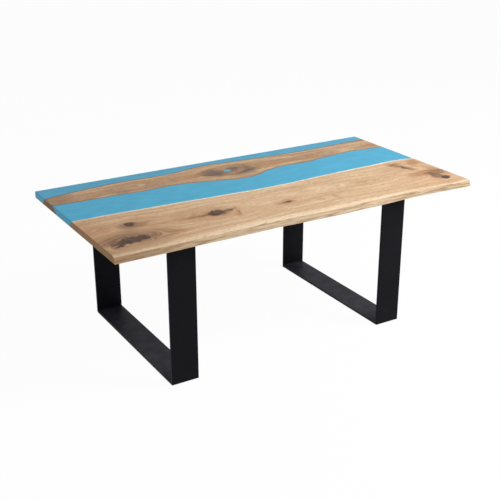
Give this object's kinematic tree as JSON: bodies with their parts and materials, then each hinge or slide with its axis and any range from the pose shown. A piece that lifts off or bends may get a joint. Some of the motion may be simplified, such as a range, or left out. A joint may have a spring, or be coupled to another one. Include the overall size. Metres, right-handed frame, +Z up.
{
  "type": "dining table",
  "caption": "Rectangular dining table: live-edge hardwood boards cast in blue resin as one flat top, on two closed frames of wide flat black steel bar.",
  "frame": {"origin": "on the floor under the middle of the table top", "axes": "+X along the table's length to the right, -Y towards the natural front edge, +Z up"},
  "size_m": [2, 1, 0.73],
  "materials": {
    "pale_oak": "satin lacquer",
    "brown_oak": "satin lacquer",
    "blue_resin": "satin gloss, opaque",
    "dark_knot": "dark filled knot",
    "black_steel": "fine black powder coat",
    "black_bolt": "black oxide",
    "zinc_washer": "zinc plated",
    "brass_insert": "plain",
    "felt": "pressed felt"
  },
  "bodies": {
    "root": {"front_board": "pale_oak", "middle_board": "brown_oak", "river_resin": "blue_resin", "edge_resin": "blue_resin", "knot_plug": "blue_resin", "knot_fillers": "dark_knot", "left_front_upright": "black_steel", "left_rear_upright": "black_steel", "left_foot_bar": "black_steel", "left_top_bar": "black_steel", "left_welds": "black_steel", "left_bolts": "black_bolt", "left_washers": "zinc_washer", "left_inserts": "brass_insert", "left_floor_pads": "felt", "right_front_upright": "black_steel", "right_rear_upright": "black_steel", "right_foot_bar": "black_steel", "right_top_bar": "black_steel", "right_welds": "black_steel", "right_bolts": "black_bolt", "right_washers": "zinc_washer", "right_inserts": "brass_insert", "right_floor_pads": "felt"}
  },
  "joints": []
}
